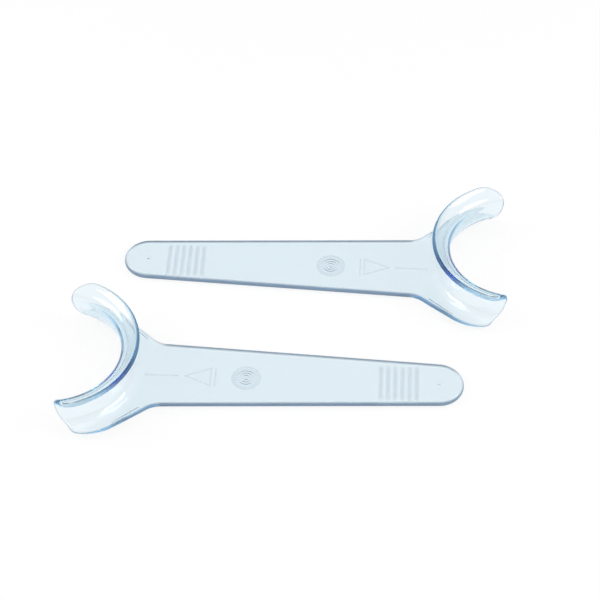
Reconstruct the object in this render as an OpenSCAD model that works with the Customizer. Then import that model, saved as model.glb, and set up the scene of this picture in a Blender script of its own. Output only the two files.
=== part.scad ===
// Pair of one-piece cheek retractors in clear plastic, lying side by side, head to tail.
// Millimetres, +Z up. The origin is the middle of the pair, on the surface that it lies on.

/* [Handle] */
// Length of one retractor, from the round end of the handle to the tips of the arms
length = 140; // [110:1:180]
// Thickness of the handle and of the lower flange
handle_t = 2.8; // [2:0.1:4]
// Width of the handle across its round end
end_w = 17.9; // [12:0.1:26]
// Width of the handle at the neck, where it starts to flare into the hook
neck_w = 27.7; // [22:0.1:36]
// Angle of the flare against the handle's centre line
flare_angle = 40; // [32:1:50]
// Radius of the hollow corner between the handle's edge and the flare
flare_fillet_r = 8; // [2:0.5:14]

/* [Hook] */
// Clear opening between the two arms, at the waist of the hook's wall
opening_d = 46; // [38:0.5:60]
// Height of the hook from the underside to the top of the upper flange
hook_h = 18; // [16:0.1:24]
// Height of the waist, where the wall reaches furthest into the opening
waist_h = 12.5; // [10:0.1:14]
// Thickness of the hook's wall and of its upper flange
wall_t = 2; // [1.4:0.1:2.8]
// How far the wall's foot lies out from the waist
foot_reach = 6.6; // [5:0.1:9]
// Outside radius of the bend at the wall's foot
foot_r = 4; // [2:0.1:4.5]
// How far the floor of the cheek groove starts out from the groove's waist
groove_reach = 5.6; // [4:0.1:8]
// Radius of the bend at the floor of the cheek groove
groove_r = 3.5; // [1.5:0.1:3.8]
// How far the upper flange stands out past the waist
upper_reach = 6.7; // [5:0.1:9]
// How far each shoulder of the lower flange stands out past the opening, sideways
shoulder_reach = 4.9; // [4:0.1:9]
// Outside radius of the shoulders in plan
shoulder_r = 17.5; // [14:0.5:21]
// How far the widest point of the shoulders lies behind the centre of the opening
shoulder_back = 11.5; // [9:0.5:15]
// How far the curve of the shoulders runs on past their widest point
shoulder_over = 2; // [0:0.1:4]
// How far the tips of the arms stop short of the centre of the opening
tip_setback = 2.2; // [1:0.1:4]
// Radius of the blunt nose of each arm in plan
nose_r = 14; // [8:0.5:40]
// How far the underside of the shoulders is raised at their outer edge
lift_h = 1.5; // [0.5:0.1:2]
// Distance from the centre line where the underside starts to rise
lift_from = 19; // [17:0.5:22]

/* [Finger grip] */
// Number of grip grooves across the underside of the handle
grip_count = 6; // [3:1:9]
// Spacing of the grip grooves
grip_pitch = 2.5; // [1.8:0.1:3.5]
// Length of each grip groove
grip_len = 14; // [8:0.5:18]
// Width of each grip groove at the surface
grip_w = 1.2; // [0.6:0.1:1.6]
// Depth of each grip groove
grip_depth = 0.5; // [0.2:0.05:0.8]
// Distance of the first grip groove from the round end
grip_start = 16.4; // [12:0.2:24]

/* [Moulded marks] */
// Depth of the marks moulded into the underside
mark_depth = 0.3; // [0.1:0.05:0.6]
// Line width of the moulded marks
mark_line = 0.7; // [0.4:0.05:1]
// Outside diameter of the round dial mark
dial_d = 10.7; // [8:0.1:14]
// Distance of the dial mark from the round end
dial_from_end = 76; // [55:0.5:80]
// Number of ticks round the dial mark
dial_ticks = 12; // [6:1:16]
// Width of the base of the triangle mark
triangle_w = 9; // [6:0.2:12]
// Height of the triangle mark, along the handle
triangle_h = 10.4; // [7:0.2:12]
// Distance of the triangle's base from the round end
triangle_from_end = 88; // [85:0.5:96]
// Diameter of the shallow dish round the injection point
gate_dish_d = 8; // [4:0.2:10]
// Depth of that dish
gate_dish_depth = 0.25; // [0.1:0.05:0.5]
// Diameter of the nub left at the injection point
gate_d = 1.4; // [0.8:0.1:2]
// Distance of the injection point from the round end
gate_from_end = 8.7; // [6:0.1:11]

/* [Pair] */
// Distance between the centre lines of the two handles
pair_spacing = 54.6; // [52:0.2:80]
// Distance from the middle of the pair to the centre of each opening, along the handles
pair_reach = 80; // [70:1:100]

/* [Hidden] */
$fn = 96;
// Steps in each arc of the hook's section
arc_steps = 10;
// Cuts run past the faces that they open by this much
past = 1;

// Radii round the centre of the opening
opening_r = opening_d / 2;
rim_r = opening_r + upper_reach;
flat_r = opening_r + foot_reach;
upper_bend = min(hook_h - waist_h, upper_reach - wall_t / 2);

// Plan of the arms: the nose runs from the end of the shoulder's curve to the tip
shoulder_y = opening_r + shoulder_reach;
shoulder_c = [-shoulder_back, shoulder_y - shoulder_r];
shoulder_end = shoulder_c + [shoulder_over, sqrt(shoulder_r * shoulder_r - shoulder_over * shoulder_over)];
tip = [-tip_setback, sqrt(opening_r * opening_r - tip_setback * tip_setback)];
nose_chord = tip - shoulder_end;
nose_rise = sqrt(nose_r * nose_r - nose_chord * nose_chord / 4);
nose_out = [-nose_chord.y, nose_chord.x] / norm(nose_chord);
nose_c = (tip + shoulder_end) / 2 - nose_rise * nose_out;

// Plan of the handle: tangent from its round end to the neck, then the flare up to the shoulder
end_r = end_w / 2;
end_x = -tip_setback - length;
end_c = [end_x + end_r, 0];
flare_dir = [cos(flare_angle), sin(flare_angle)];
flare_top = shoulder_c + shoulder_r * [-flare_dir.y, flare_dir.x];
neck = flare_top - (flare_top.y - neck_w / 2) / flare_dir.y * flare_dir;
neck_run = neck - end_c;
taper = atan2(neck_run.y, neck_run.x) - asin(end_r / norm(neck_run));
edge_dir = [cos(taper), sin(taper)];
edge_out = [-edge_dir.y, edge_dir.x];
fillet_run = flare_fillet_r * tan((flare_angle - taper) / 2);
fillet_start = neck - fillet_run * edge_dir;
fillet_end = neck + fillet_run * flare_dir;
fillet_c = fillet_start + flare_fillet_r * edge_out;
outline = [end_c + end_r * edge_out, neck, flare_top, shoulder_c];

// Both sides of the centre line
module both_sides() {
    children();
    mirror([0, 1, 0]) children();
}

// Ball radius that leaves a dish of this width and depth
function dish_r(width, depth) = (width * width / 4 + depth * depth) / (2 * depth);

// Points along an arc, from one angle to another
function arc(centre, r, from, to) = [
    for (i = [0:arc_steps])
        let (a = from + (to - from) * i / arc_steps)
        centre + r * [cos(a), sin(a)]
];

// Outline of one retractor seen from above, with its arms still closed across the opening
module plan() {
    intersection() {
        union() {
            polygon(concat(outline, [for (i = [len(outline) - 1:-1:0]) [outline[i].x, -outline[i].y]]));
            translate(end_c) circle(end_r);
            both_sides() {
                translate(shoulder_c) circle(shoulder_r);
                flare_fillet();
            }
        }
        union() {
            translate([end_x, -shoulder_y]) square([shoulder_end.x - end_x, 2 * shoulder_y]);
            both_sides() translate(nose_c) circle(nose_r);
        }
    }
}

// Hollow corner between the edge of the handle and the flare
module flare_fillet() {
    difference() {
        polygon([fillet_start, fillet_end, [fillet_end.x, 0], [fillet_start.x, 0]]);
        translate(fillet_c) circle(flare_fillet_r);
    }
}

// Near side of a channel: up from a bend at its foot, along a bowed wall to the waist, and over at the top
function channel_side(h, waist, reach, bend_r, top_r) =
    let (
        rise = waist - bend_r,
        bow_r = (reach * reach + rise * rise - bend_r * bend_r) / (2 * (reach - bend_r)),
        meet = 270 - atan2(bow_r - reach, rise)
    )
    concat(
        arc([reach, bend_r], bend_r, 270, meet),
        arc([bow_r, waist], bow_r, meet, 180),
        arc([top_r, h - top_r], top_r, 180, 90)
    );

// Section of the hook: lower flange, bowed wall and upper flange round the groove for the cheek
module hook_section() {
    outside = channel_side(hook_h, waist_h, foot_reach, foot_r, upper_bend);
    groove_h = hook_h - handle_t - wall_t;
    groove = channel_side(groove_h, waist_h - handle_t, groove_reach, groove_r, upper_bend - wall_t);
    rim = arc([upper_reach - wall_t / 2, hook_h - wall_t / 2], wall_t / 2, 90, -90);
    flange_end = norm(neck) - opening_r;
    polygon(concat(
        outside,
        rim,
        [for (i = [len(groove) - 1:-1:0]) groove[i] + [wall_t, handle_t]],
        [[flange_end, handle_t], [flange_end, 0]]
    ));
}

// Wedge under one arm that raises its underside towards the outer edge
module lift_cut() {
    slope = atan2(lift_h, shoulder_y - lift_from);
    translate([-2 * rim_r, lift_from, 0])
        rotate([slope, 0, 0])
            translate([0, -past, -hook_h]) cube([2 * rim_r, shoulder_y, hook_h]);
}

// Grip groove across the handle, centred on the origin
module grip_groove() {
    r = dish_r(grip_w, grip_depth);
    translate([0, 0, grip_depth - r]) {
        rotate([90, 0, 0]) cylinder(r = r, h = grip_len, center = true);
        both_sides() translate([0, grip_len / 2, 0]) sphere(r);
    }
}

// Flat ring between two diameters
module ring(outer_d, inner_d) {
    difference() {
        circle(d = outer_d);
        circle(d = inner_d);
    }
}

// Dial mark: a rim, a ring of ticks and a hub with a pointer
module dial_mark() {
    hub_d = dial_d / 2;
    tick_gap = mark_line;
    ring(dial_d, dial_d - 2 * mark_line);
    ring(hub_d, hub_d - 2 * mark_line);
    translate([-hub_d / 2 + mark_line, -mark_line / 2]) square([hub_d - 2 * mark_line, mark_line]);
    tick_in = hub_d / 2 + tick_gap;
    tick_out = dial_d / 2 - mark_line - tick_gap;
    for (i = [0:dial_ticks - 1])
        rotate(i * 360 / dial_ticks)
            translate([tick_in, -mark_line / 4]) square([tick_out - tick_in, mark_line / 2]);
}

// Triangle mark: an outline that points at the hook, with a bar behind its base
module triangle_mark() {
    half = triangle_w / 2;
    slope = atan2(half, triangle_h);
    inner_base = mark_line;
    inner_tip = triangle_h - mark_line / sin(slope);
    inner_half = (inner_tip - inner_base) * tan(slope);
    difference() {
        polygon([[0, -half], [triangle_h, 0], [0, half]]);
        polygon([[inner_base, -inner_half], [inner_tip, 0], [inner_base, inner_half]]);
    }
    translate([-2 * mark_line, -half]) square([mark_line, triangle_w]);
}

// Fine line from the triangle to the root of the hook
module stem_mark() {
    stem_start = end_x + triangle_from_end + triangle_h + mark_line;
    translate([stem_start, -mark_line / 4]) square([-flat_r - stem_start, mark_line / 2]);
}

// All that is moulded into the underside
module underside_marks() {
    for (i = [0:grip_count - 1])
        translate([end_x + grip_start + i * grip_pitch, 0, 0]) grip_groove();
    translate([0, 0, -past]) linear_extrude(mark_depth + past) {
        translate([end_x + dial_from_end, 0]) dial_mark();
        translate([end_x + triangle_from_end, 0]) triangle_mark();
        stem_mark();
    }
}

// One retractor, with the centre of its opening on the origin and its arms towards +X
module retractor() {
    gate_x = end_x + gate_from_end;
    dish_ball_r = dish_r(gate_dish_d, gate_dish_depth);
    difference() {
        union() {
            linear_extrude(handle_t) difference() {
                plan();
                circle(flat_r);
            }
            intersection() {
                rotate_extrude() translate([opening_r, 0]) hook_section();
                linear_extrude(hook_h) plan();
            }
        }
        both_sides() lift_cut();
        underside_marks();
        translate([gate_x, 0, handle_t - gate_dish_depth + dish_ball_r]) sphere(dish_ball_r);
    }
    translate([gate_x, 0, handle_t - 2 * gate_dish_depth]) cylinder(d = gate_d, h = 2 * gate_dish_depth);
}

// Moves one retractor to its place in the pair
module place_in_pair() {
    translate([pair_reach, pair_spacing / 2, 0]) children();
}

module right_retractor() {
    color([0.78, 0.89, 0.96, 0.6]) place_in_pair() retractor();
}

module left_retractor() {
    color([0.78, 0.89, 0.96, 0.6]) rotate([0, 0, 180]) place_in_pair() retractor();
}

right_retractor();
left_retractor();
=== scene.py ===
import math
import bmesh
import bpy
import numpy as np
from mathutils import Matrix, Vector


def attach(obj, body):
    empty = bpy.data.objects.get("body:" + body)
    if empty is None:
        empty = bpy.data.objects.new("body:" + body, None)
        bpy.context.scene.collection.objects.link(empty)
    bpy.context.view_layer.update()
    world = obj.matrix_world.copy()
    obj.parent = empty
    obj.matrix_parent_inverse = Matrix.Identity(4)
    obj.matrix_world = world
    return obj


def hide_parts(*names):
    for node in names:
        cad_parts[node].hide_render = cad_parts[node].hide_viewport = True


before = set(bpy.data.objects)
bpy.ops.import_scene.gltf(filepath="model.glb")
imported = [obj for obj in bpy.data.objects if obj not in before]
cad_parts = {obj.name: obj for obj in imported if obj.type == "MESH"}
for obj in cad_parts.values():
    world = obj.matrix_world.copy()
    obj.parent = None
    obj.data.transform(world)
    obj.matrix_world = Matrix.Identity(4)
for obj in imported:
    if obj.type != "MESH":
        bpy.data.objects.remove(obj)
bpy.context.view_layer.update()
print("stage: frame loaded")

mm = 0.001

# One retractor, in millimetres and degrees: its opening is centred on the origin, its arms point along +X
body = {
    "endX": -142.2,           # round end of the handle
    "endWidth": 17.9,
    "neckWidth": 27.7,
    "flareAngle": 40.0,
    "filletRadius": 8.0,
    "shoulderWidth": 55.8,
    "shoulderRadius": 17.5,
    "shoulderBack": 11.5,
    "handleThick": 2.8,
    "shoulderThick": 2.0,     # at the outer edge of the shoulders
    "wallThick": 1.8,
    "rimThick": 1.7,
    "wallFull": 7.0,          # way up the section to the wall's own thickness
    "rimFrom": 13.0,          # and to where the rim begins to thin
    "hookHeight": 18.0,
    "waistHeight": 12.5,
    "waistRadius": 23.0,
    "footReach": 6.9,         # foot of the wall, out from the waist
    "footBend": 6.0,
    "flangeRise": 15.0,       # slope of the upper flange, then of its turned-up lip
    "lipRise": 45.0,
    "rimReach": 6.7,          # edge of the upper flange, out from the waist
    "outerFrom": 12.0,        # distances from the middle line between which the shoulders thin and rise
    "outerTo": 27.0,
    "armLift": 1.0,           # rise of the shoulders' outer edge
    "liftLow": 1.5,           # heights between which that rise dies out up the wall
    "liftHigh": 9.0,
    "armRadius": 26.0,        # mean radius of the arms where they end
    "tipCorner": 7.5,         # round corner of the upper flange at each tip
}
# How far round the opening the arms reach, in degrees, against the way up the section, in millimetres
armReach = [(2.0, 71.0), (5.0, 75.0), (9.0, 79.5), (14.0, 82.5), (18.0, 83.0), (22.0, 81.5)]

# How fine the mesh is
fine = {
    "foot": 120, "wall": 160, "over": 160, "lip": 80,    # points along the section
    "end": 80, "edge": 400, "fillet": 60, "flare": 80, "shoulder": 160,    # and along the outline
    "endStart": 120.0,        # the outline starts here in the round end, in degrees
    "shoulderStop": 80.0,     # and stops here, well past the foot of the wall
    "handleRows": [(-127.4, 64), (-111.0, 72), (-73.0, 18), (-42.5, 146)],    # up to where, and how many
    "shoulderRows": 58,
    "hookRows": 34,
    "cornerRows": 22,
    "columns": 84,
    "crowd": 0.25,            # draws the columns in towards the middle line
    "edgeSteps": 12,
    "samePoint": 1e-9,
    "straightBow": 1e-4,      # a row that bows by less is straight
    "flatNudge": 1e-3,        # small steps that give the slopes of the sheet
    "roundNudge": 1e-4,
    "upNudge": 0.02,
}


def smoothStep(x, low, high):
    t = np.clip((np.asarray(x, float) - low) / (high - low), 0.0, 1.0)
    return t * t * (3.0 - 2.0 * t)


# Smooth curve through a few points
def smoothCurve(x, xs, ys):
    xs, ys = np.asarray(xs, float), np.asarray(ys, float)
    slope = np.gradient(ys, xs)
    k = np.clip(np.searchsorted(xs, x) - 1, 0, len(xs) - 2)
    h = xs[k + 1] - xs[k]
    t = np.clip((x - xs[k]) / h, 0, 1)
    a = (1 + 2 * t) * (1 - t) ** 2 * ys[k] + t * (1 - t) ** 2 * h * slope[k]
    return a + t * t * (3 - 2 * t) * ys[k + 1] + t * t * (t - 1) * h * slope[k + 1]


def unit(vectors):
    return vectors / np.linalg.norm(vectors, axis=-1, keepdims=True)


def wayAlong(line):
    return np.concatenate([[0], np.cumsum(np.linalg.norm(np.diff(line, axis=0), axis=1))])


# Points of an arc, and the way out from its centre at each
def arcPoints(centre, radius, start, end, count):
    a = np.radians(np.linspace(start, end, count))
    out = np.stack([np.cos(a), np.sin(a)], 1)
    return np.asarray(centre) + radius * out, out


# Points of a straight run, with the same way out at each
def straightPoints(start, end, out, count):
    w = np.linspace(0, 1, count)[:, None]
    return start + (end - start) * w, np.repeat(out[None], count, 0)


# Middle line of the hook's section, from the foot of the wall up to the rim: way along it, radius and height
def sectionLine():
    base, waist = body["handleThick"] / 2, body["waistHeight"]
    middle = body["waistRadius"] + body["wallThick"] / 2
    reach, bend = body["footReach"], body["footBend"]
    rise = waist - base - bend
    bow = (reach * reach + rise * rise - bend * bend) / (2 * (reach - bend))
    meet = 270 - math.degrees(math.atan2(bow - reach, rise))
    # over the waist the flange bends out, then its lip turns up to the rim
    rim = body["waistRadius"] + body["rimReach"] - body["rimThick"] / 2
    top = body["hookHeight"] - body["rimThick"] / 2
    f, e = math.radians(body["flangeRise"]), math.radians(body["lipRise"])
    turns = [[1 - math.sin(f), math.sin(e) - math.sin(f)], [math.cos(f), math.cos(f) - math.cos(e)]]
    over, lip = np.linalg.solve(turns, [rim - middle, top - waist])
    lipCentre = (rim - lip * math.sin(e), top + lip * math.cos(e))
    arcs = [
        arcPoints((middle + reach, base + bend), bend, 270, meet, fine["foot"]),
        arcPoints((middle + bow, waist), bow, meet, 180, fine["wall"]),
        arcPoints((middle + over, waist), over, 180, 90 + body["flangeRise"], fine["over"]),
        arcPoints(lipCentre, lip, 270 + body["flangeRise"], 270 + body["lipRise"], fine["lip"]),
    ]
    line = np.concatenate([points for points, out in arcs])
    step = np.linalg.norm(np.diff(line, axis=0), axis=1)
    line = line[np.concatenate([[True], step > fine["samePoint"]])]
    return wayAlong(line), line[:, 0], line[:, 1]


sectionWay, sectionRadius, sectionHeight = sectionLine()
sectionEnd = sectionWay[-1]
footRadius = sectionRadius[0]


# 0 about the middle line, 1 at the outer edge of the shoulders
def outerShare(v):
    return smoothStep(np.abs(v), body["outerFrom"], body["outerTo"])


def liftAt(v, z):
    return body["armLift"] * outerShare(v) * (1 - smoothStep(z, body["liftLow"], body["liftHigh"]))


def flatPoint(u, v):
    base = body["handleThick"] / 2
    return np.stack([u, v, base + liftAt(v, base)], -1)


def flatThick(v):
    return body["handleThick"] + (body["shoulderThick"] - body["handleThick"]) * outerShare(v)


def hookPoint(angle, way):
    r = np.interp(way, sectionWay, sectionRadius)
    z = np.interp(way, sectionWay, sectionHeight)
    v = r * np.sin(angle)
    return np.stack([-r * np.cos(angle), v, z + liftAt(v, z)], -1)


def hookThick(v, way):
    up = smoothStep(way, 0, body["wallFull"])
    thick = flatThick(v) * (1 - up) + body["wallThick"] * up
    rim = smoothStep(way, body["rimFrom"], sectionEnd)
    return thick * (1 - rim) + body["rimThick"] * rim


# Outline of the handle, flare and shoulder on one side, drawn in by half the thickness
def sideLine():
    endR, filletR, shoulderR = body["endWidth"] / 2, body["filletRadius"], body["shoulderRadius"]
    endC = np.array([body["endX"] + endR, 0.0])
    flare = math.radians(body["flareAngle"])
    flareDir = np.array([math.cos(flare), math.sin(flare)])
    flareOut = np.array([-flareDir[1], flareDir[0]])
    shoulderC = np.array([-body["shoulderBack"], body["shoulderWidth"] / 2 - shoulderR])
    flareTop = shoulderC + shoulderR * flareOut
    neck = flareTop - (flareTop[1] - body["neckWidth"] / 2) / flareDir[1] * flareDir
    run = neck - endC
    taper = math.atan2(run[1], run[0]) - math.asin(endR / np.linalg.norm(run))
    edgeDir = np.array([math.cos(taper), math.sin(taper)])
    edgeOut = np.array([-edgeDir[1], edgeDir[0]])
    back = filletR * math.tan((flare - taper) / 2)
    filletStart, filletEnd = neck - back * edgeDir, neck + back * flareDir
    t, f = math.degrees(taper), body["flareAngle"]
    hollow, into = arcPoints(filletStart + filletR * edgeOut, filletR, t - 90, f - 90, fine["fillet"])
    runs = [
        arcPoints(endC, endR, fine["endStart"], 90 + t, fine["end"]),
        straightPoints(endC + endR * edgeOut, filletStart, edgeOut, fine["edge"]),
        (hollow, -into),
        straightPoints(filletEnd, flareTop, flareOut, fine["flare"]),
        arcPoints(shoulderC, shoulderR, 90 + f, fine["shoulderStop"], fine["shoulder"]),
    ]
    outline, out = (np.concatenate(kind) for kind in zip(*runs))
    line = outline - out * (flatThick(outline[:, 1]) / 2)[:, None]
    # cut off where it crosses the foot of the wall
    far = np.hypot(line[:, 0], line[:, 1])
    stop = np.argmax(far < footRadius)
    w = (far[stop - 1] - footRadius) / (far[stop - 1] - far[stop])
    last = line[stop - 1] + (line[stop] - line[stop - 1]) * w
    return np.concatenate([line[:stop], last[None]])


# Places across the sheet, from -1 at one edge to 1 at the other
across = np.linspace(-1, 1, fine["columns"] + 1)
across = (1 - fine["crowd"]) * across + fine["crowd"] * across ** 3


# Rows over the handle and shoulders: straight across, but bowed towards the round end and towards the hook
def flatRows(side):
    way = wayAlong(side)
    places = [u for u, count in fine["handleRows"]]
    counts = [count for u, count in fine["handleRows"]] + [fine["shoulderRows"]]
    ends = [0.0] + [np.interp(u, side[:, 0], way) for u in places] + [way[-1]]
    runs = [np.linspace(p, q, count)[:-1] for p, q, count in zip(ends, ends[1:], counts)]
    stations = np.concatenate(runs + [way[-1:]])
    us = np.interp(stations, way, side[:, 0])
    hs = np.interp(stations, way, side[:, 1])
    # where each row meets the middle line
    tip, bowed, turning = body["endX"] + body["handleThick"] / 2, places[0], places[-1]
    endMiddle = tip + (bowed - tip) * stations / ends[1]
    hookMiddle = turning + (-footRadius - turning) * (stations - ends[-2]) / (way[-1] - ends[-2])
    middles = np.where(stations < ends[1], endMiddle, np.where(stations > ends[-2], hookMiddle, us))
    rows, e = [], fine["flatNudge"]
    for u, h, middle in zip(us, hs, middles):
        bow = u - middle
        if abs(bow) < fine["straightBow"]:
            rowU, rowV = np.full_like(across, u), across * h
        else:
            r = (h * h + bow * bow) / (2 * bow)
            angle = across * math.atan2(h, r - bow)
            rowU, rowV = middle + r - r * np.cos(angle), r * np.sin(angle)
        du = flatPoint(rowU + e, rowV) - flatPoint(rowU - e, rowV)
        dv = flatPoint(rowU, rowV + e) - flatPoint(rowU, rowV - e)
        rows.append((flatPoint(rowU, rowV), np.cross(du, dv), flatThick(rowV)))
    return rows


# Rows up the wall and over the flange: arcs round the opening, cut back at the round corners of the tips
def hookRows(start):
    corner = body["tipCorner"]
    turn = np.radians(np.linspace(0, 90, fine["cornerRows"]))[1:]
    upWall = np.linspace(0, sectionEnd - corner, fine["hookRows"])[1:]
    ways = np.concatenate([upWall, sectionEnd - corner + corner * np.sin(turn)])
    cuts = np.concatenate([np.zeros(len(upWall)), corner * (1 - np.cos(turn))])
    inset = math.degrees(body["wallThick"] / 2 / body["armRadius"])
    reachWay = [0.0] + [way for way, angle in armReach]
    reachAngle = [math.degrees(math.atan2(start[1], -start[0]))] + [angle - inset for way, angle in armReach]
    rows, e = [], fine["roundNudge"]
    for way, cut in zip(ways, cuts):
        r = np.interp(way, sectionWay, sectionRadius)
        limit = math.radians(float(smoothCurve(way, reachWay, reachAngle))) - cut / r
        angle = across * limit
        above = hookPoint(angle, min(way + fine["upNudge"], sectionEnd))
        up = above - hookPoint(angle, way - fine["upNudge"])
        around = hookPoint(angle + e, way) - hookPoint(angle - e, way)
        points = hookPoint(angle, way)
        rows.append((points, np.cross(up, around), hookThick(points[:, 1], way)))
    return rows


# Middle of the sheet as a grid of points, with its normals and its thickness
def middleSheet():
    side = sideLine()
    points, normals, thick = (np.array(kind) for kind in zip(*flatRows(side), *hookRows(side[-1])))
    return points, unit(normals), thick


# Moulded details on the handle, in millimetres
detail = {
    "grooveCount": 6,
    "groovePitch": 2.5,
    "grooveLength": 16.6,
    "grooveWidth": 2.1,
    "grooveDepth": 0.3,
    "grooveFromEnd": 16.4,
    "markLine": 0.8,
    "markDepth": 0.1,
    "dialDiameter": 10.7,
    "dialFromEnd": 76.0,
    "ridgePitch": 1.0,        # concentric ridges inside the dial
    "ridgeDepth": 0.2,
    "ridgeFull": 0.62,        # they run out between these shares of its radius
    "ridgeEnd": 0.7,
    "tickCount": 24,
    "tickMiddle": 0.8,        # middle of the ticks, and half their length, as shares of the radius
    "tickFull": 0.1,
    "tickEnd": 0.16,
    "triangleWidth": 9.0,
    "triangleHeight": 10.4,
    "triangleFromEnd": 88.0,
    "barGap": 1.5,            # bar behind the triangle, in widths of the line
    "stemEnd": -29.6,
    "undersideTop": 0.02,     # the marks reach what lies lower than this
    "grooveMattShade": 0.25,       # share of matt surface, with painted shade, in the grooves, the dial and the other marks
    "dialMattShade": 0.11,
    "markMattShade": 0.22,
    "spotFull": 0.85,         # the dial's matt surface and painted shade fade out from this share of its radius
    "gateFromEnd": 8.7,
    "gateDish": 8.0,
    "gateDepth": 0.4,
    "gateWidth": 1.8,
    "gateSoft": 0.25,         # softness of the nub's edge
    "handleMattShadeEnd": -34.0,   # the handle's edge is matt, with painted shade, as far as here, with a soft end
    "handleMattShadeFade": 4.0,
    "shoulderMattShade": 0.1,      # share of matt surface with painted shade on the edge of the shoulders
    "shoulderMattShadeLow": 3.0,   # heights between which that fades out
    "shoulderMattShadeHigh": 5.0,
    "crestFrom": 0.15,        # from the faces to the crest of the edge, the matt surface and painted shade begin, and are full here
    "crestFull": 0.75,
}


# Dish in the top face near the end of the handle, with the nub of the injection point in it
def sinkGate(top):
    away = np.hypot(top[..., 0] - (body["endX"] + detail["gateFromEnd"]), top[..., 1])
    away /= detail["gateDish"] / 2
    soft = detail["gateSoft"]
    nub = smoothStep(away * detail["gateDish"] / detail["gateWidth"], 1 + soft, 1 - soft)
    top[..., 2] -= detail["gateDepth"] * (np.clip(1 - away ** 2, 0, 1) ** 2 - nub)


# Rows and columns of the points round the border, in order
def borderRing(rows, cols):
    ring = [(0, i) for i in range(cols)] + [(j, cols - 1) for j in range(1, rows)]
    ring += [(rows - 1, i) for i in range(cols - 2, -1, -1)] + [(j, 0) for j in range(rows - 2, 0, -1)]
    return np.array(ring).T


# Directions that lead straight out of the sheet, all along its border
def outwardFrom(border, normal):
    ahead = np.roll(border, -1, 0) - border
    behind = border - np.roll(border, 1, 0)
    la = np.linalg.norm(ahead, axis=1, keepdims=True)
    lb = np.linalg.norm(behind, axis=1, keepdims=True)
    return unit(np.cross(normal, ahead / la * lb + behind / lb * la))


# How matt the border is, with painted shade: fully along the handle, a little at the shoulders, not at all
# on the hook
def borderMattShade(border):
    end = detail["handleMattShadeEnd"]
    handle = smoothStep(border[:, 0], end, end - detail["handleMattShadeFade"])
    shoulder = smoothStep(border[:, 2], detail["shoulderMattShadeHigh"], detail["shoulderMattShadeLow"])
    return np.maximum(handle, detail["shoulderMattShade"] * shoulder)


# Closed skin over the sheet, with a full-round edge all along its border that is duller than the faces and
# carries painted shade
def sheetMesh(name):
    middle, normal, thick = middleSheet()
    rows, cols = thick.shape
    count, steps = rows * cols, fine["edgeSteps"]
    half = (thick / 2)[..., None]
    top, low = middle + normal * half, middle - normal * half
    sinkGate(top)
    rj, ri = borderRing(rows, cols)
    border, out, edgeHalf = middle[rj, ri], normal[rj, ri], half[rj, ri]
    outward, strong, around = outwardFrom(border, out), borderMattShade(border), len(border)
    bands, dull, mattShade = [], [np.zeros(2 * count)], [np.zeros(2 * count)]
    for k in range(1, steps):
        a = math.pi * k / steps
        crest = math.sin(a) ** 2
        bands.append(border + out * edgeHalf * math.cos(a) + outward * edgeHalf * math.sin(a))
        dull.append(np.full(around, crest))
        # painted shade: the crest of the edge turns dark and matt, most strongly along the handle
        mattShade.append(strong * smoothStep(crest, detail["crestFrom"], detail["crestFull"]))
    verts = np.concatenate([top.reshape(-1, 3), low.reshape(-1, 3)] + bands) * mm
    grid = np.arange(count).reshape(rows, cols)
    quads = np.stack([grid[:-1, :-1], grid[1:, :-1], grid[1:, 1:], grid[:-1, 1:]], -1).reshape(-1, 4)
    faces = [quads, quads[:, ::-1] + count]
    rim = grid[rj, ri]
    levels = [rim] + [2 * count + k * around + np.arange(around) for k in range(steps - 1)] + [rim + count]
    for upper, lower in zip(levels, levels[1:]):
        faces.append(np.stack([upper, np.roll(upper, -1), np.roll(lower, -1), lower], 1))
    mesh = bpy.data.meshes.new(name)
    mesh.from_pydata(verts.tolist(), [], np.concatenate(faces).tolist())
    for key, shares in (("dull", dull), ("mattShade", mattShade)):
        mesh.attributes.new(key, "FLOAT", "POINT").data.foreach_set("value", np.concatenate(shares))
    return mesh


def turnOutwards(mesh):
    work = bmesh.new()
    work.from_mesh(mesh)
    bmesh.ops.recalc_face_normals(work, faces=work.faces)
    if work.calc_volume(signed=True) < 0:
        bmesh.ops.reverse_faces(work, faces=work.faces)
    work.to_mesh(mesh)
    work.free()


# New node with its inputs set, by name or by number, from a value or from another node's output
def addNode(tree, kind, inputs, **settings):
    node = tree.nodes.new(kind)
    for key, value in settings.items():
        setattr(node, key, value)
    for key, value in inputs.items():
        if isinstance(value, bpy.types.NodeSocket):
            tree.links.new(value, node.inputs[key])
        else:
            node.inputs[key].default_value = value
    return node


# Clear plastic: a faint flow texture in the gloss and in the skin, blue that deepens with thickness, and
# painted shade where the surface is matt
plastic = {
    "ior": 1.5,
    "tint": (0.95, 0.98, 0.995, 1.0),
    "absorbColor": (0.2, 0.7, 0.95, 1.0),
    "absorbDensity": 60.0,
    "roughLow": 0.05,
    "roughHigh": 0.11,
    "edgeRough": 0.5,         # added on the crest of the edges
    # painted shade: the dark blue-grey that the matt edges and marks take on
    "paintedShadeColor": (0.27, 0.38, 0.51, 1.0),
    "mattShadeClear": 0.25,        # what still passes through where the surface is matt and painted with shade
    "flowScale": 55.0,
    "flowStretch": 0.35,      # drawn out along the handle
    "flowDetail": 3.0,
    "flowLow": 0.3,           # part of the texture that the gloss follows
    "flowHigh": 0.7,
    "bumpStrength": 0.02,
    "bumpDepth": 0.001,
}


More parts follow.
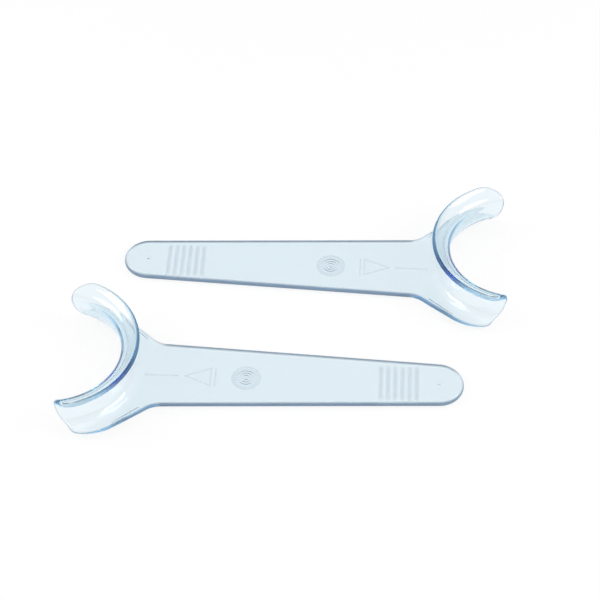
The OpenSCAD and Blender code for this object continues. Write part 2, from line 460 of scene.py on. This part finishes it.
def plasticMaterial(name, p):
    mat = bpy.data.materials.new(name)
    mat.use_nodes = True
    tree = mat.node_tree
    shader = tree.nodes["Principled BSDF"]
    shader.inputs["IOR"].default_value = p["ior"]
    # plain values of the clear faces, under the links below
    shader.inputs["Base Color"].default_value = p["tint"]
    shader.inputs["Transmission Weight"].default_value = 1.0

    def blend(key, low, high, kind="FLOAT"):
        part = addNode(tree, "ShaderNodeAttribute", {}, attribute_name=key)
        mix = addNode(tree, "ShaderNodeMix", {"Factor": part.outputs["Fac"]}, data_type=kind)
        ends = [i for i in mix.inputs if i.enabled and i.name in ("A", "B")]
        ends[0].default_value, ends[1].default_value = low, high
        return [o for o in mix.outputs if o.enabled][0]

    place = addNode(tree, "ShaderNodeTexCoord", {})
    stretch = addNode(tree, "ShaderNodeMapping", {
        "Vector": place.outputs["Object"], "Scale": (p["flowStretch"], 1.0, 1.0),
    })
    flow = addNode(tree, "ShaderNodeTexNoise", {
        "Vector": stretch.outputs["Vector"], "Scale": p["flowScale"], "Detail": p["flowDetail"],
    }).outputs["Fac"]
    gloss = addNode(tree, "ShaderNodeMapRange", {
        "Value": flow, "From Min": p["flowLow"], "From Max": p["flowHigh"],
        "To Min": p["roughLow"], "To Max": p["roughHigh"],
    })
    edgeRough = blend("dull", 0.0, p["edgeRough"])
    rough = addNode(tree, "ShaderNodeMath", {0: gloss.outputs["Result"], 1: edgeRough})
    skin = addNode(tree, "ShaderNodeBump", {
        "Height": flow, "Strength": p["bumpStrength"], "Distance": p["bumpDepth"],
    })
    depth = addNode(tree, "ShaderNodeVolumeAbsorption", {
        "Color": p["absorbColor"], "Density": p["absorbDensity"],
    })
    tree.links.new(rough.outputs[0], shader.inputs["Roughness"])
    tree.links.new(skin.outputs["Normal"], shader.inputs["Normal"])
    # painted shade: where the matt share is set, the plastic grows less clear and turns dark blue-grey
    tree.links.new(blend("mattShade", 1.0, p["mattShadeClear"]), shader.inputs["Transmission Weight"])
    tree.links.new(blend("mattShade", p["tint"], p["paintedShadeColor"], "RGBA"), shader.inputs["Base Color"])
    tree.links.new(depth.outputs["Volume"], tree.nodes["Material Output"].inputs["Volume"])
    return mat


# Inputs of the marks' node tree, with lengths in metres
def markValues():
    end = body["endX"]
    lengths = {
        "Groove Start": end + detail["grooveFromEnd"],
        "Groove Pitch": detail["groovePitch"],
        "Groove Length": detail["grooveLength"],
        "Groove Width": detail["grooveWidth"],
        "Groove Depth": detail["grooveDepth"],
        "Mark Line": detail["markLine"],
        "Mark Depth": detail["markDepth"],
        "Dial Place": end + detail["dialFromEnd"],
        "Dial Radius": detail["dialDiameter"] / 2,
        "Ridge Pitch": detail["ridgePitch"],
        "Ridge Depth": detail["ridgeDepth"],
        "Triangle Base": end + detail["triangleFromEnd"],
        "Triangle Height": detail["triangleHeight"],
        "Triangle Width": detail["triangleWidth"],
        "Stem End": detail["stemEnd"],
        "Underside Top": detail["undersideTop"],
    }
    values = {name: value * mm for name, value in lengths.items()}
    values["Groove Count"] = detail["grooveCount"]
    values["Tick Count"] = detail["tickCount"]
    values["Groove Matt"] = detail["grooveMattShade"]
    values["Dial Matt"] = detail["dialMattShade"]
    values["Mark Matt"] = detail["markMattShade"]
    return values


# Node tree that sinks the marks into the underside and makes them matt with painted shade; grooves and ticks
# repeat by count
def marksTree(material, values):
    tree = bpy.data.node_groups.new("mouldedMarks", "GeometryNodeTree")
    face = tree.interface
    face.new_socket("Geometry", in_out="INPUT", socket_type="NodeSocketGeometry")
    face.new_socket("Geometry", in_out="OUTPUT", socket_type="NodeSocketGeometry")
    for name, value in values.items():
        kind = "NodeSocketInt" if isinstance(value, int) else "NodeSocketFloat"
        face.new_socket(name, in_out="INPUT", socket_type=kind)
    given = tree.nodes.new("NodeGroupInput").outputs

    def put(kind, *inputs, **settings):
        inOrder = {i: value for i, value in enumerate(inputs) if value is not None}
        return addNode(tree, kind, inOrder, **settings).outputs[0]

    def calc(operation, a, b=None):
        return put("ShaderNodeMath", a, b, operation=operation)

    def plus(a, b):
        return calc("ADD", a, b)

    def minus(a, b):
        return calc("SUBTRACT", a, b)

    def times(a, b):
        return calc("MULTIPLY", a, b)

    def far(a, b=0.0):
        return calc("ABSOLUTE", minus(a, b))

    # 1 up to the first distance, falling smoothly to 0 at the second
    def fade(distance, full, none):
        return put("ShaderNodeMapRange", distance, full, none, 1.0, 0.0, interpolation_type="SMOOTHSTEP")

    def most(*values):
        largest = values[0]
        for other in values[1:]:
            largest = calc("MAXIMUM", largest, other)
        return largest

    spot = put("ShaderNodeSeparateXYZ", put("GeometryNodeInputPosition")).node.outputs
    x, y, z = spot["X"], spot["Y"], spot["Z"]
    side = far(y)
    line = given["Mark Line"]
    halfLine = times(line, 0.5)

    # grip grooves
    along = minus(x, given["Groove Start"])
    which = calc("ROUND", calc("DIVIDE", along, given["Groove Pitch"]))
    which = calc("MINIMUM", calc("MAXIMUM", which, 0.0), minus(given["Groove Count"], 1.0))
    groove = fade(far(along, times(which, given["Groove Pitch"])), 0.0, times(given["Groove Width"], 0.5))
    reach = times(given["Groove Length"], 0.5)
    groove = times(groove, fade(side, minus(reach, given["Groove Width"]), reach))

    # dial: rim, ticks and concentric ridges
    radius = given["Dial Radius"]
    ahead = minus(x, given["Dial Place"])
    out = calc("SQRT", plus(times(ahead, ahead), times(y, y)))
    share = calc("DIVIDE", out, radius)
    rim = fade(far(out, minus(radius, halfLine)), 0.0, halfLine)
    wave = calc("COSINE", times(calc("DIVIDE", out, given["Ridge Pitch"]), math.tau))
    ridges = times(plus(times(wave, 0.5), 0.5), fade(share, detail["ridgeFull"], detail["ridgeEnd"]))
    step = calc("DIVIDE", math.tau, given["Tick Count"])
    turn = calc("DIVIDE", calc("ARCTAN2", y, ahead), step)
    sideways = times(times(far(turn, calc("ROUND", turn)), step), out)
    ticks = fade(far(share, detail["tickMiddle"]), detail["tickFull"], detail["tickEnd"])
    ticks = times(fade(sideways, 0.0, halfLine), ticks)
    disc = fade(share, detail["spotFull"], 1.0)

    # triangle that points at the hook, bar behind it and stem ahead of it
    base, tall = given["Triangle Base"], given["Triangle Height"]
    halfBase = times(given["Triangle Width"], 0.5)
    tip = plus(base, tall)
    slant = calc("ARCTAN2", halfBase, tall)
    edge = plus(times(minus(x, tip), calc("SINE", slant)), times(side, calc("COSINE", slant)))
    inside = calc("MAXIMUM", minus(base, x), edge)
    triangle = fade(far(plus(inside, halfLine)), 0.0, halfLine)
    bar = fade(far(x, minus(base, times(line, detail["barGap"]))), 0.0, halfLine)
    bar = times(bar, fade(side, minus(halfBase, halfLine), halfBase))
    before = minus(0.0, line)
    stem = times(fade(side, 0.0, halfLine), fade(minus(x, given["Stem End"]), before, 0.0))
    stem = times(stem, fade(minus(plus(tip, line), x), before, 0.0))

    lines = most(rim, ticks, triangle, bar, stem)
    depth = most(
        times(groove, given["Groove Depth"]),
        times(ridges, given["Ridge Depth"]),
        times(lines, given["Mark Depth"]),
    )
    # painted shade in the grooves, the dial and the other marks, together with their matt surface
    mattShade = most(
        times(groove, given["Groove Matt"]),
        times(disc, given["Dial Matt"]),
        times(lines, given["Mark Matt"]),
    )
    underside = calc("LESS_THAN", z, given["Underside Top"])
    sunk = put("ShaderNodeCombineXYZ", 0.0, 0.0, depth)
    whole = put("GeometryNodeStoreNamedAttribute", given["Geometry"], underside, "mattShade", mattShade)
    whole = put("GeometryNodeSetPosition", whole, underside, None, sunk)
    whole = put("GeometryNodeRealizeInstances", whole)
    whole = put("GeometryNodeSetMaterial", whole, None, material)
    tree.links.new(whole, tree.nodes.new("NodeGroupOutput").inputs[0])
    return tree


def plainMesh(obj, name):
    made = obj.evaluated_get(bpy.context.evaluated_depsgraph_get())
    mesh = bpy.data.meshes.new_from_object(made)
    mesh.name = name
    return mesh


clearPlastic = plasticMaterial("clearBluePlastic", plastic)
blank = bpy.data.objects.new("blank", sheetMesh("blank"))
turnOutwards(blank.data)
bpy.context.scene.collection.objects.link(blank)
moulding = blank.modifiers.new("mouldedMarks", "NODES")
wanted = markValues()
moulding.node_group = marksTree(clearPlastic, wanted)
for item in moulding.node_group.interface.items_tree:
    if item.in_out == "INPUT" and item.name in wanted:
        moulding[item.identifier] = wanted[item.name]
moulded = plainMesh(blank, "moulded")
blank.modifiers.remove(moulding)
bpy.data.objects.remove(blank)
print("stage: moulding made,", len(moulded.polygons), "faces")

# Where the two lie, in millimetres: how far out the openings are, and how far apart the middle lines
lay = {"reach": 80.0, "spacing": 54.6}


def layOut(name, node, bodyName, turn):
    mesh = moulded.copy()
    mesh.name = name
    place = Matrix.Translation(Vector((lay["reach"], lay["spacing"] / 2, 0)) * mm)
    mesh.transform(Matrix.Rotation(turn, 4, "Z") @ place)
    mesh.shade_smooth()
    obj = bpy.data.objects.new(name, mesh)
    bpy.context.scene.collection.objects.link(obj)
    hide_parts(node)
    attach(obj, bodyName)


layOut("rightRetractor", "right_retractor", "right", 0.0)
layOut("leftRetractor", "left_retractor", "left", math.pi)
print("stage: pair laid out")

# Plain white floor, soft light from above and darker towards the horizon, as in a light tent; in metres
studio = {
    "floorSize": 8.0,
    "floorDrop": 0.0003,      # hair's breadth under the pieces
    "floorWhite": 0.92,
    "floorGlow": 0.85,        # share of plain white that the camera sees on the floor
    "underGlow": 0.5,         # the same, seen through the plastic
    "zenith": 0.74,
    "horizon": 0.1,
    "zenithFrom": 0.75,       # heights in the sky at which these two begin
    "horizonTo": 0.1,
    "lamps": [                # size, watts and place
        ("topLight", (0.5, 0.5), 0.7, (0.0, -0.15, 0.8)),
        ("rightLight", (0.32, 0.26), 1.3, (0.46, -0.06, 0.35)),
        ("leftLight", (0.32, 0.26), 1.3, (-0.49, 0.0, 0.38)),
    ],
    "bounces": 40,            # light has to find its way along inside the clear plastic
}
white = (1.0, 1.0, 1.0, 1.0)


def grey(level):
    return (level, level, level, 1.0)


def makeFloor(s):
    h, z = s["floorSize"] / 2, -s["floorDrop"]
    mesh = bpy.data.meshes.new("floor")
    mesh.from_pydata([(-h, -h, z), (h, -h, z), (h, h, z), (-h, h, z)], [], [(0, 1, 2, 3)])
    floor = bpy.data.objects.new("floor", mesh)
    bpy.context.scene.collection.objects.link(floor)
    mat = bpy.data.materials.new("floorWhite")
    mat.use_nodes = True
    tree = mat.node_tree
    tree.nodes.remove(tree.nodes["Principled BSDF"])

    def calc(operation, a, b):
        return addNode(tree, "ShaderNodeMath", {0: a, 1: b}, operation=operation).outputs[0]

    path = addNode(tree, "ShaderNodeLightPath", {}).outputs
    seen = calc("MAXIMUM", path["Is Camera Ray"], path["Is Glossy Ray"])
    through = calc("MULTIPLY", path["Is Transmission Ray"], s["underGlow"])
    mattShade = addNode(tree, "ShaderNodeBsdfDiffuse", {"Color": grey(s["floorWhite"])})
    glow = addNode(tree, "ShaderNodeEmission", {"Color": white})
    mix = addNode(tree, "ShaderNodeMixShader", {
        "Fac": calc("MAXIMUM", calc("MULTIPLY", seen, s["floorGlow"]), through),
        1: mattShade.outputs[0], 2: glow.outputs[0],
    })
    tree.links.new(mix.outputs[0], tree.nodes["Material Output"].inputs["Surface"])
    mesh.materials.append(mat)


def makeWorld(s):
    world = bpy.data.worlds.new("tent")
    bpy.context.scene.world = world
    world.use_nodes = True
    tree = world.node_tree
    where = addNode(tree, "ShaderNodeTexCoord", {})
    split = addNode(tree, "ShaderNodeSeparateXYZ", {0: where.outputs["Generated"]})
    ramp = addNode(tree, "ShaderNodeValToRGB", {"Fac": split.outputs["Z"]})
    ramp.color_ramp.interpolation = "EASE"
    low, high = ramp.color_ramp.elements
    low.position, low.color = s["horizonTo"], grey(s["horizon"])
    high.position, high.color = s["zenithFrom"], grey(s["zenith"])
    sky = tree.nodes["Background"]
    tree.links.new(ramp.outputs["Color"], sky.inputs["Color"])
    # plain white where the camera looks past the floor
    past = addNode(tree, "ShaderNodeBackground", {"Color": white})
    path = addNode(tree, "ShaderNodeLightPath", {}).outputs
    mix = addNode(tree, "ShaderNodeMixShader", {
        "Fac": path["Is Camera Ray"], 1: sky.outputs[0], 2: past.outputs[0],
    })
    tree.links.new(mix.outputs[0], tree.nodes["World Output"].inputs["Surface"])


# Lamp that shines at the middle of the pair
def areaLight(name, size, power, place):
    lamp = bpy.data.lights.new(name, "AREA")
    lamp.shape = "RECTANGLE"
    lamp.size, lamp.size_y = size
    lamp.energy = power
    obj = bpy.data.objects.new(name, lamp)
    obj.location = place
    obj.rotation_euler = (Vector() - Vector(place)).to_track_quat("-Z", "Y").to_euler()
    bpy.context.scene.collection.objects.link(obj)


makeFloor(studio)
makeWorld(studio)
for lamp in studio["lamps"]:
    areaLight(*lamp)
paths = bpy.context.scene.cycles
paths.max_bounces = paths.glossy_bounces = paths.transmission_bounces = studio["bounces"]
print("stage: studio made")

# Camera as in the photograph, in degrees and millimetres: nearly square on, looking down at about 45 degrees
view = {
    "azimuth": 2.72,
    "elevation": 48.5,
    "target": (3.23, 11.13, 0.0),
    "distance": 689.2,
    "lens": 113.86,
    "sensor": 36.0,
    "near": 10.0,             # nothing closer is drawn
}
az, el = math.radians(view["azimuth"]), math.radians(view["elevation"])
backward = Vector((math.sin(az) * math.cos(el), -math.cos(az) * math.cos(el), math.sin(el)))
camera = bpy.data.objects.new("camera", bpy.data.cameras.new("camera"))
camera.data.lens = view["lens"]
camera.data.sensor_width = view["sensor"]
camera.data.clip_start = view["near"] * mm
camera.location = Vector(view["target"]) * mm + backward * view["distance"] * mm
camera.rotation_euler = (-backward).to_track_quat("-Z", "Y").to_euler()
bpy.context.scene.collection.objects.link(camera)
bpy.context.scene.camera = camera
bpy.context.scene.view_settings.view_transform = "Standard"
print("stage: camera set")
